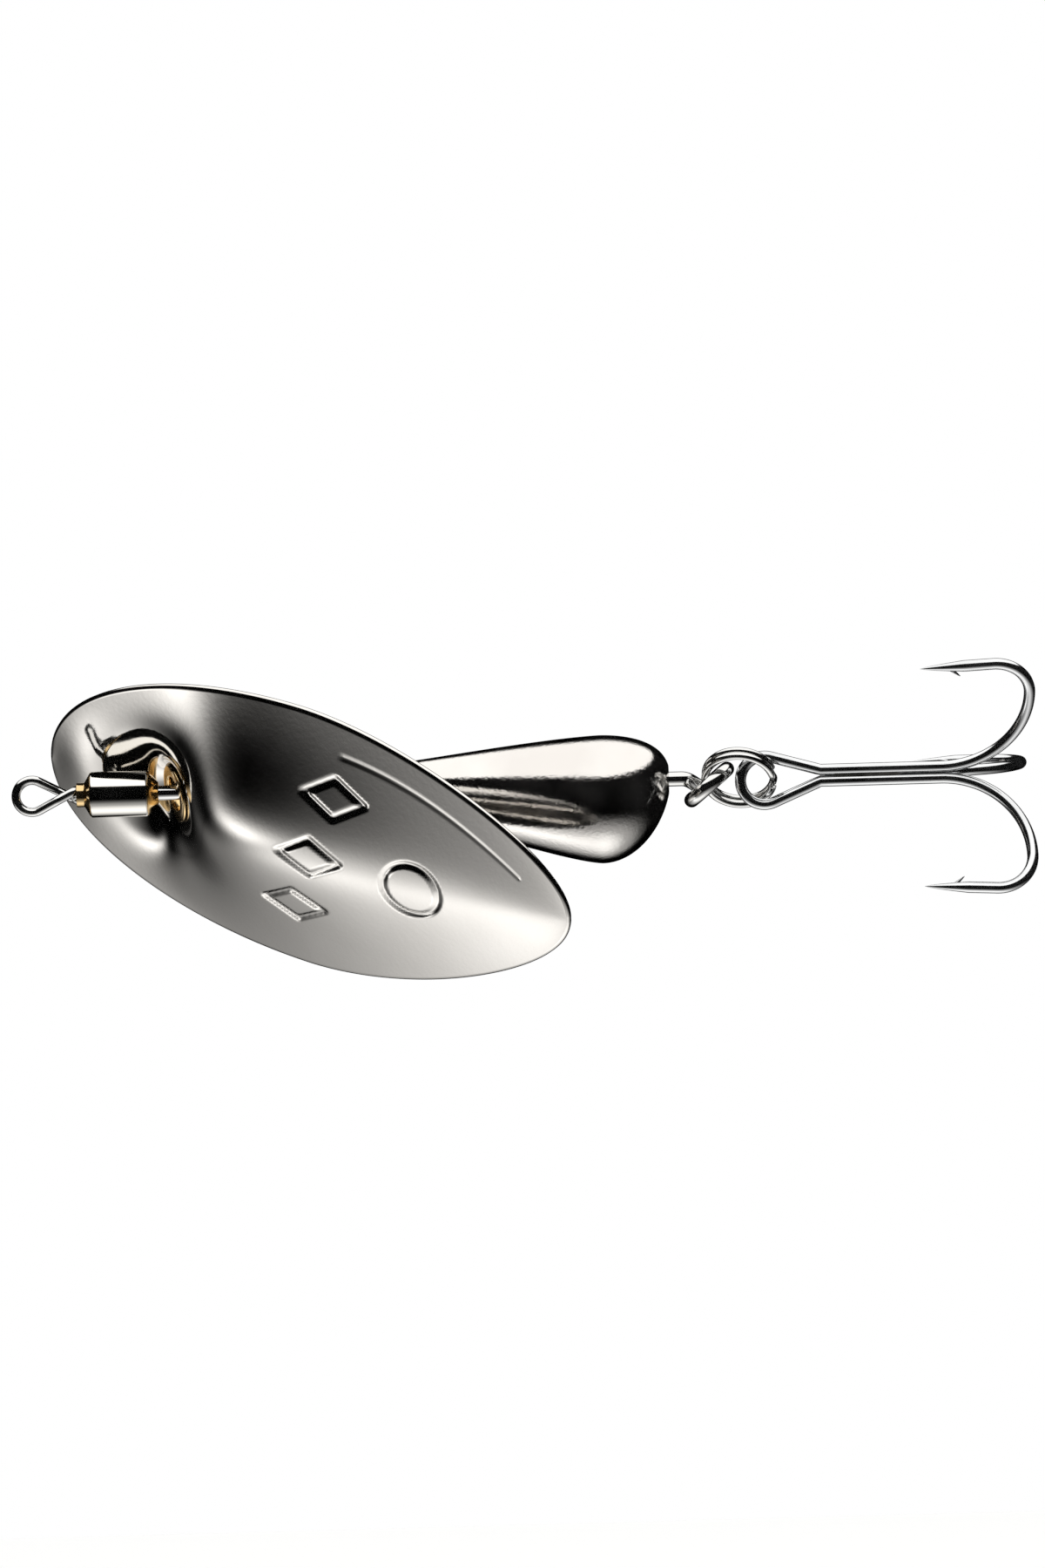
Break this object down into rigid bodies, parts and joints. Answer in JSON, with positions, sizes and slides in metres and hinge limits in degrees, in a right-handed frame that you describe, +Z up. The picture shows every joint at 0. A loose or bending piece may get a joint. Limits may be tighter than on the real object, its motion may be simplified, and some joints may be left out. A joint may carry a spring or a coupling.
{
  "type": "inline spinner",
  "caption": "Inline fishing spinner: wire line eye, barrel swivel, S-curved metal blade threaded on a straight shaft, teardrop weight, split ring and brazed treble hook.",
  "frame": {"origin": "middle of the line eye's loop, on the shaft's axis", "axes": "+X along the shaft from the line eye towards the hook, +Z up"},
  "size_m": [0.0586, 0.0196, 0.0175],
  "materials": {
    "wire": "polished stainless wire",
    "nickel": "nickel plated",
    "brass": "polished",
    "blade_plate": "mirror nickel plate",
    "body_plate": "dark mirror nickel plate",
    "hook_steel": "tinned, bright",
    "braze": "tinned over"
  },
  "bodies": {
    "line_eye": {"line_eye": "wire"},
    "swivel": {"swivel_sleeve": "nickel", "swivel_front_cap": "brass", "swivel_rear_cap": "brass"},
    "shaft": {"shaft": "wire"},
    "blade": {"blade": "blade_plate", "blade_bush": "brass"},
    "bead": {"thrust_bead": "brass"},
    "weight": {"body": "body_plate"},
    "ring": {"split_ring": "wire"},
    "treble": {"hook_pair": "hook_steel", "third_hook": "hook_steel", "hook_braze": "braze"}
  },
  "joints": [
    {"name": "swivel_spin", "type": "hinge", "parent": "line_eye", "child": "swivel", "pos_m": [0.0047, 0, 0], "axis": [1, 0, 0], "continuous": true},
    {"name": "shaft_spin", "type": "hinge", "parent": "swivel", "child": "shaft", "pos_m": [0.006, 0, 0], "axis": [1, 0, 0], "continuous": true},
    {"name": "blade_spin", "type": "hinge", "parent": "shaft", "child": "blade", "pos_m": [0.0082, 0, 0], "axis": [1, 0, 0], "continuous": true},
    {"name": "bead_spin", "type": "hinge", "parent": "shaft", "child": "bead", "pos_m": [0.0105, 0, 0], "axis": [1, 0, 0], "continuous": true},
    {"name": "body_spin", "type": "hinge", "parent": "shaft", "child": "weight", "pos_m": [0.024, 0, 0], "axis": [1, 0, 0], "continuous": true},
    {"name": "ring_swing", "type": "hinge", "parent": "shaft", "child": "ring", "pos_m": [0.03858, 0.00015, -0.0003], "axis": [0.6902, 0.07, -0.7202], "range_deg": [-75, 50]},
    {"name": "treble_swing", "type": "hinge", "parent": "ring", "child": "treble", "pos_m": [0.0419, -0.0008, -0.0002], "axis": [0, 1, 0], "range_deg": [-80, 80]}
  ]
}
